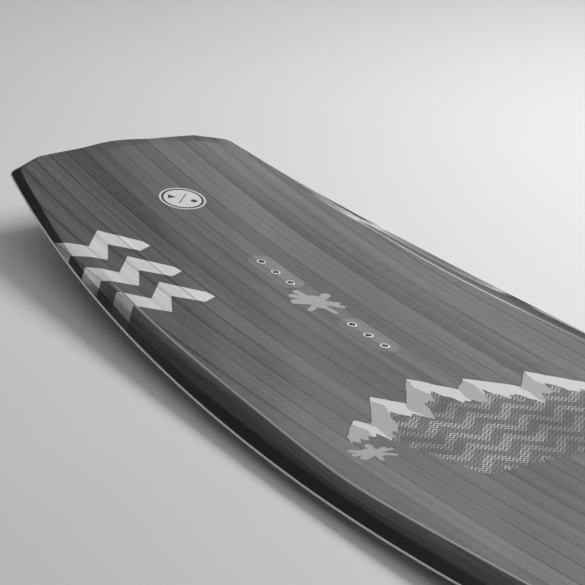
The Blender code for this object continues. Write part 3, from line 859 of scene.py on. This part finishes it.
def deck_material():
    """Stained wood strips with bare wood and pale ink graphics, under a clear gloss sheet."""
    g = Graph("deck")
    brightness, seam, fine = strip_wood(g, g.x, g.y, STRIP_WIDTH, SEAM_SHIFT)
    # The stained strips' tone, which holds the painted shadow beside some seams.
    stain = brightness * STAIN_TONE * (1.0 - seam * 0.58)

    # The graphics at the nose are those at the tail, turned half round.
    side = g.math("SIGN", g.x)
    tail_x = -abs(g.x)
    tail_y = -(g.y * side)
    speck = g.noise(g.place, 1100.0, detail=2.0)
    pod = stain * 1.30 + 0.026 + (speck - 0.5) * 0.10
    tone = g.mix(g.inside(pods(g, g.x, g.y)), stain, pod)
    tone = mountains(g, g.x, g.y, tone)
    bare = (BARE_TONE + (brightness - 0.90) * 0.34) * (1.0 - seam * 0.34)
    bare = bare + g.step(tail_y, -0.180, -0.095) * 0.10
    tone = g.mix(g.inside(chevrons(tail_x, tail_y)), tone, bare)
    badge = circle(g, tail_x, tail_y, BADGE, BADGE_RADIUS)
    face = BADGE_TONE + (fine - 0.5) * 0.16
    ink = (badge - BADGE_RING[0]).low(BADGE_RING[1] - badge).high(emblem(g, tail_x, tail_y))
    tone = g.mix(g.inside(badge), tone, g.mix(g.inside(ink, 0.0002), face, INK_TONE))
    pale = PALE_TONE + (fine - 0.5) * 0.10
    tone = g.mix(g.inside(brush_mark(g, tail_x, tail_y, *LARGE_MARK)), tone, pale)
    tone = g.mix(g.inside(brush_mark(g, g.x, g.y, *SMALL_MARK)), tone, pale)
    # Painted shade on the slopes and bevels, and painted highlights along the creases and down the slopes.
    tone = edge_tone(g, tone)

    scuff = g.step(g.noise(g.vector(g.x * 25.0, g.y * 60.0, g.z * 60.0), detail=4.0), 0.56, 0.70)
    roughness = 0.34 + (fine - 0.5) * 0.10 + scuff * 0.10
    g.bump(fine * 0.25 + g.noise(g.place, 45.0, detail=1.0) * 0.75 - seam * 0.5, 0.00012, 0.35)
    colour = g.tinted(tone, (1.0, 1.0, 1.0))
    return g.finish(colour, roughness, Specular_IOR_Level=0.15, Coat_Weight=0.85, Coat_Roughness=0.12)


def plain_material(name, tone, roughness, spread=0.15, scale=120.0, depth=0.0002, **constants):
    """An even material with mottled tone, uneven gloss and a fine relief."""
    g = Graph(name)
    mottle = g.noise(g.place, scale, detail=4.0)
    broad = g.noise(g.place, scale / 12, detail=2.0)
    amount = 1.0 + (mottle - 0.5) * spread + (broad - 0.5) * spread
    g.bump(mottle, depth, 0.4)
    return g.finish(g.tinted(amount, tone), roughness + (broad - 0.5) * 0.2, **constants)


def base_material():
    """A sintered base with a fine lengthwise structure, scratches and light stains."""
    g = Graph("base")
    structure = g.noise(g.vector(g.x * 8.0, g.y * 2600.0, g.z * 2600.0), detail=2.0)
    scratch_place = g.vector(g.x * 9.0 + g.y * 5.0, g.y * 900.0 + g.x * 40.0)
    scratch = g.step(g.noise(scratch_place, detail=1.0), 0.71, 0.76)
    stain = g.noise(g.vector(g.x * 6.0, g.y * 18.0, g.z * 18.0), detail=4.0)
    tone = 0.66 + (structure - 0.5) * 0.10 + (stain - 0.5) * 0.14 - scratch * 0.16
    g.bump(structure - scratch * 0.8, 0.00006, 0.5)
    roughness = 0.34 + (structure - 0.5) * 0.16 + scratch * 0.2
    return g.finish(g.tinted(tone, (1.0, 1.0, 0.985)), roughness, Coat_Weight=0.15, Coat_Roughness=0.2)


# Painted shade inside the bore: the metal's tone there is scaled down to this share.
BORE_SHADE_TONE = 0.50
BORE_ROUGHNESS = 0.16


def turned_metal(name, tint, roughness=0.22, bore=0.0):
    """Metal with fine turning marks around its own Z axis, glossier within the radius bore and darkened
    there by painted shade.
    """
    g = Graph(name)
    radius = g.length(g.x, g.y)
    marks = g.noise(g.vector(radius * 9000.0, g.z * 9000.0), detail=2.0)
    smear = g.noise(g.place, 700.0, detail=3.0)
    tone = 0.92 + (marks - 0.5) * 0.20 + (smear - 0.5) * 0.16
    in_bore = g.inside(bore - radius, 0.0001)
    # Painted shade: the metal within the bore is darkened.
    tone = tone * g.mix(in_bore, 1.0, BORE_SHADE_TONE)
    roughness = g.mix(in_bore, roughness, BORE_ROUGHNESS)
    g.bump(marks, 0.00002, 0.5)
    return g.finish(g.tinted(tone, tint), roughness + (smear - 0.5) * 0.16, Metallic=1.0)


def wood_material(name, tint, strip_width):
    """Planed, uncoated wood of the core, with the painted shadow beside some seams that strip_wood draws.
    """
    g = Graph(name)
    brightness, seam, fine = strip_wood(g, g.x, g.y, strip_width, strip_width / 2)
    g.bump(fine - seam, 0.0002, 0.5)
    return g.finish(g.tinted(brightness * (1.0 - seam * 0.3), tint), 0.62 + (fine - 0.5) * 0.25)


def glass_cloth(name, tint, pitch, roughness):
    """Woven glass cloth in resin: two sets of yarns that pass over each other."""
    g = Graph(name)
    u = g.x / pitch
    v = g.y / pitch
    warp = zigzag(u, 1.0, 1.0)
    weft = zigzag(v, 1.0, 1.0)
    over = (u.floor() + v.floor()) % 2.0
    yarn = g.mix(over, warp, weft)
    blotch = g.noise(g.place, 30.0, detail=3.0)
    tone = 0.80 + yarn * 0.22 + (blotch - 0.5) * 0.25
    g.bump(yarn, 0.00015, 0.6)
    roughness = roughness + (blotch - 0.5) * 0.2
    return g.finish(g.tinted(tone, tint), roughness, Coat_Weight=0.3, Coat_Roughness=0.15)


# Pieces.


def insert_positions():
    found = {}
    for end, sign in ENDS.items():
        for group, centre in GROUPS.items():
            for number in (1, 2, 3):
                found[f"{end}_{group}_{number}"] = sign * (centre + (number - 2) * INSERT_PITCH)
    return found


def fin_screw_positions():
    found = {}
    for end, sign in ENDS.items():
        found[f"{end}_inner"] = sign * (FIN_X - FIN_SCREW_X)
        found[f"{end}_outer"] = sign * (FIN_X + FIN_SCREW_X)
    return found


def sheet_hole(radius):
    return [(0.0, -HOLE_REACH), (radius, -HOLE_REACH), (radius, HOLE_REACH), (0.0, HOLE_REACH)]


def build_deck(material):
    deck = board_skin("deck_skin", deck_section)
    hole = sheet_hole(INSERT_HOLE_RADIUS)
    cut_holes(deck, [(hole, INSERT_HOLE_SIDES, on_deck(x)) for x in insert_positions().values()])
    finish_piece(deck, "topsheet", material, "topsheet")


def build_base(material):
    base = board_skin("base_skin", base_section)
    hole = sheet_hole(FIN_INSERT_RADIUS + GAP)
    cut_holes(base, [(hole, FIN_INSERT_HOLE_SIDES, under_base(x)) for x in fin_screw_positions().values()])
    finish_piece(base, "base_sheet", material, "base_sheet")


THREAD_PITCH = 0.001
THREAD_TURNS = 10
THREAD_SIDES = 32
THREAD_CUT = 0.00045
THREAD_LEVELS = 6  # in each turn
MOUTH = 0.0008
MOUTH_CUTS = (0.0001, 0.0004)
HEAD_CUT = 0.0002
NECK = (0.0010, 0.0014)
FLANGE_CUT = 0.0003
DRILL_POINT = (0.0006, 0.0008)


def build_insert(name, x, material):
    """A flanged insert with a chamfered mouth and a cut thread, in its own frame."""
    bm = bmesh.new()
    bottom = -(deck_height(x) - base_height(x) - BASE_SHEET - TOPSHEET - 6 * GAP)
    head = INSERT_HOLE_RADIUS - 0.5 * GAP
    levels = [-MOUTH - i * THREAD_PITCH / THREAD_LEVELS for i in range(THREAD_TURNS * THREAD_LEVELS)]
    rings = []

    def ring(radius, height, wave=0.0):
        made = []
        for k in range(THREAD_SIDES):
            share = k / THREAD_SIDES
            phase = (height / THREAD_PITCH + share) % 1.0
            reach = radius - wave * THREAD_CUT * (1.0 - abs(2.0 * phase - 1.0))
            made.append(bm.verts.new((reach * cos(2 * pi * share), reach * sin(2 * pi * share), height)))
        rings.append(made)

    ring(DRILL_POINT[0], levels[-1] - DRILL_POINT[1])
    ring(THREAD_RADIUS * 0.9, levels[-1] - HEAD_CUT)
    for height in reversed(levels):
        ring(THREAD_RADIUS, height, 1.0)
    ring(THREAD_RADIUS + MOUTH_CUTS[0], -MOUTH + FLANGE_CUT)
    ring(THREAD_RADIUS + MOUTH_CUTS[1], 0.0)
    ring(head - HEAD_CUT, 0.0)
    ring(head, -HEAD_CUT)
    ring(head, -NECK[0])
    ring(BARREL_RADIUS, -NECK[1])
    ring(BARREL_RADIUS, bottom + FLANGE_HEIGHT)
    ring(FLANGE_RADIUS - FLANGE_CUT, bottom + FLANGE_HEIGHT)
    ring(FLANGE_RADIUS, bottom + FLANGE_HEIGHT - FLANGE_CUT)
    ring(FLANGE_RADIUS, bottom)
    bridge(bm, rings)
    bm.faces.new(rings[0])
    bm.faces.new(rings[-1])
    insert = add_object(f"threaded_insert_{name}", bm, on_deck(x))
    finish_piece(insert, "insert_steel", material, f"insert_{name}")


FIN_CUTS = (0.0007, 0.0012, 0.0006)
SCREW_CUTS = (0.0007, 0.0007, 0.0002, 0.0002, 0.0002, 0.0002)
BLADE_STEPS = 16
FOOT_SHARES = (0.33, 0.67)
ROUND_END_STEPS = 8


def fin_section(x, centre):
    """Section of the foot, which has rounded ends, and of the blade, which is deepest in the middle."""
    along = abs(x - centre)
    end_radius = FIN_FOOT_WIDTH / 2
    round_end = max(0.0, along - (FIN_LENGTH / 2 - end_radius))
    foot = max(0.0, end_radius**2 - round_end**2) ** 0.5 + BLADE_ROOT / 2
    share = min(1.0, along / (BLADE_LENGTH / 2))
    power, root_power = BLADE_FULLNESS
    blade = (BLADE_DEPTH - FIN_FOOT_HEIGHT) * (1.0 - share**power) ** root_power
    top = base_height(x) - GAP
    bottom = top - FIN_FOOT_HEIGHT
    tip = bottom - GAP - blade
    outline = ((foot, top), (foot, bottom), (BLADE_ROOT / 2, bottom), (BLADE_EDGE / 2, tip), (0.0, tip))
    half = rounded([Vector(point) for point in outline], FIN_CUTS)
    points = [(p.x, p.y) for p in half] + [(-p.x, p.y) for p in reversed(half[:-1])]
    return [Vector((x, y, z)) for y, z in points]


def fin_stations(centre):
    """Stations are closer together at the rounded ends of the foot and of the blade."""
    blade = BLADE_LENGTH / 2
    arc = FIN_LENGTH / 2 - FIN_FOOT_WIDTH / 2
    turns = [pi / 2 * i / ROUND_END_STEPS for i in range(ROUND_END_STEPS + 1)]
    half = [blade * sin(pi / 2 * i / BLADE_STEPS) for i in range(BLADE_STEPS + 1)]
    half += [blade + (arc - blade) * share for share in FOOT_SHARES]
    half += [arc + FIN_FOOT_WIDTH / 2 * sin(turn) for turn in turns]
    return [centre + s for s in [-h for h in reversed(half[1:])] + half]


def build_fins(material):
    """Each fin's foot has a counterbore for each screw's head."""
    head_radius = SCREW_HEAD_RADIUS + GAP
    shank_radius = SCREW_RADIUS + GAP
    seat = -GAP - FIN_HEAD_SEAT
    hole = [(0.0, -FIN_HOLE_REACH), (head_radius, -FIN_HOLE_REACH), (head_radius, seat)]
    hole += [(shank_radius, seat), (shank_radius, CUTTER_MARGIN), (0.0, CUTTER_MARGIN)]
    for end, sign in ENDS.items():
        centre = sign * FIN_X
        bm = bmesh.new()
        loops = [[bm.verts.new(p) for p in fin_section(x, centre)] for x in fin_stations(centre)]
        bridge(bm, loops)
        bm.faces.new(loops[0])
        bm.faces.new(loops[-1])
        fin = add_object(f"fin_{end}_blade", bm)
        screws = [x for x in fin_screw_positions().values() if x * sign > 0]
        cut_holes(fin, [(hole, SCREW_SIDES, under_base(x)) for x in screws])
        finish_piece(fin, "fin_nylon", material, f"fin_{end}")


def build_fin_screw(name, x, material):
    """A pan-head screw with a hexagon socket."""
    under_head = -FIN_HEAD_SEAT - 2 * GAP
    head_end = under_head - SCREW_HEAD_HEIGHT
    end = under_head + SCREW_LENGTH
    corners = (
        (0.0, head_end),
        (SCREW_HEAD_RADIUS * 0.78, head_end),
        (SCREW_HEAD_RADIUS, head_end + SCREW_HEAD_HEIGHT * 0.6),
        (SCREW_HEAD_RADIUS, under_head),
        (SCREW_RADIUS, under_head),
        (SCREW_RADIUS, end - SCREW_RADIUS / 3),
        (SCREW_RADIUS * 2 / 3, end),
        (0.0, end),
    )
    profile = rounded([Vector(point) for point in corners], SCREW_CUTS)
    bm = bmesh.new()
    turned(bm, [tuple(point) for point in profile], SCREW_SIDES)
    screw = add_object(f"pan_screw_{name}", bm, under_base(x))
    socket = [(0.0, head_end - CUTTER_MARGIN), (SOCKET_RADIUS, head_end - CUTTER_MARGIN)]
    socket += [(SOCKET_RADIUS, head_end + SOCKET_DEPTH), (0.0, head_end + SOCKET_DEPTH)]
    cut_holes(screw, [(socket, SOCKET_SIDES, under_base(x))])
    finish_piece(screw, "screw_steel", material, f"fin_screw_{name}")


# The camera, fitted to the photograph, and the studio around the board.

CAMERA_PLACE = (1.15399, -1.09986, 0.73825)
CAMERA_PAN = 0.9397
CAMERA_TILT = 1.2050
CAMERA_ROLL = 0.0651
CAMERA_LENS = 127.28
SENSOR_WIDTH = 36.0
CLIP_END = 50.0
WORLD_STRENGTH = 0.12
LIGHTS = (  # name, place, target, size, watts
    ("key", (-0.35, 1.30, 1.40), (-0.15, 0.0, 0.0), (1.6, 0.9), 38.0),
    ("overhead", (-0.5, -0.2, 4.0), (-0.5, -0.2, 0.0), (5.0, 5.0), 64.0),
    ("back", (-1.56, 2.03, 1.43), (-0.2, 0.1, 0.0), (1.9, 1.0), 1.9),
    ("back_high", (-2.13, 1.50, 1.58), (-0.5, 0.00, 0.05), (0.64, 0.60), 0.50),
    ("rim_high", (-2.45, 2.27, 0.74), (-0.42, 0.2, 0.03), (0.4, 0.54), 0.70),
    ("rim_low", (-2.45, 2.27, 0.52), (-0.42, 0.2, 0.03), (0.4, 0.13), 0.36),
)
FLOOR_HALF_SIZE = 8.0
FLOOR_LEVEL = -0.0005  # just under the base
FLOOR_TONE = 0.58


def build_camera():
    camera = bpy.data.objects.new("camera", bpy.data.cameras.new("camera"))
    bpy.context.scene.collection.objects.link(camera)
    turn = Matrix.Rotation(CAMERA_PAN, 3, "Z") @ Matrix.Rotation(CAMERA_TILT, 3, "X")
    turn = turn @ Matrix.Rotation(CAMERA_ROLL, 3, "Z")
    camera.matrix_world = Matrix.Translation(CAMERA_PLACE) @ turn.to_4x4()
    camera.data.sensor_width = SENSOR_WIDTH
    camera.data.lens = CAMERA_LENS
    camera.data.clip_end = CLIP_END
    bpy.context.scene.camera = camera


def build_lights():
    world = bpy.data.worlds.new("studio")
    world.use_nodes = True
    background = world.node_tree.nodes["Background"]
    background.inputs["Color"].default_value = (1.0, 1.0, 1.0, 1.0)
    background.inputs["Strength"].default_value = WORLD_STRENGTH
    bpy.context.scene.world = world
    bpy.context.scene.view_settings.view_transform = "Standard"
    for name, place, target, size, watts in LIGHTS:
        data = bpy.data.lights.new(name, "AREA")
        data.shape = "RECTANGLE"
        data.size, data.size_y = size
        data.energy = watts
        lamp = bpy.data.objects.new(name, data)
        lamp.location = place
        lamp.rotation_euler = (Vector(target) - Vector(place)).to_track_quat("-Z", "Y").to_euler()
        bpy.context.scene.collection.objects.link(lamp)


def build_floor():
    bm = bmesh.new()
    bmesh.ops.create_grid(bm, x_segments=1, y_segments=1, size=FLOOR_HALF_SIZE)
    floor = add_object("floor", bm)
    floor.location.z = FLOOR_LEVEL
    g = Graph("floor")
    mottle = g.noise(g.place, 3.0, detail=3.0)
    tone = FLOOR_TONE + (mottle - 0.5) * 0.03
    floor.data.materials.append(g.finish(g.tinted(tone, (1.0, 1.0, 1.0)), 0.6))


def paint_hidden_pieces():
    """Better materials for the pieces inside the board, which keep their CAD shapes."""
    looks = {
        "glass_laminate": glass_cloth("glass_laminate", (0.62, 0.64, 0.58), 0.0012, 0.35),
        "patch_cloth": glass_cloth("patch_cloth", (0.36, 0.36, 0.36), 0.0008, 0.45),
        "stringer_wood": wood_material("stringer_wood", (0.50, 0.33, 0.19), 0.040),
        "core_wood": wood_material("core_wood", (0.66, 0.52, 0.34), 0.020),
        "edge_urethane": plain_material("edge_urethane", (0.05, 0.05, 0.055), 0.5),
        "tip_spacer": plain_material("tip_spacer", (0.10, 0.10, 0.10), 0.45),
        "fin_insert_brass": turned_metal("fin_insert_brass", (0.55, 0.44, 0.22)),
    }
    for entry in frame["record"]["subparts"]:
        slot = entry.get("material_slot")
        if slot in looks:
            mesh = nodes[entry["node"]].data
            mesh.materials.clear()
            mesh.materials.append(looks[slot])


build_camera()
build_floor()
build_lights()
build_deck(deck_material())
build_base(base_material())
steel = turned_metal("insert_steel", (0.88, 0.88, 0.87), 0.45, bore=THREAD_RADIUS + 0.0003)
for name, x in insert_positions().items():
    build_insert(name, x, steel)
build_fins(plain_material("fin_nylon", (0.06, 0.06, 0.06), 0.4, scale=400.0))
screw_steel = turned_metal("screw_steel", (0.55, 0.55, 0.54))
for name, x in fin_screw_positions().items():
    build_fin_screw(name, x, screw_steel)
paint_hidden_pieces()
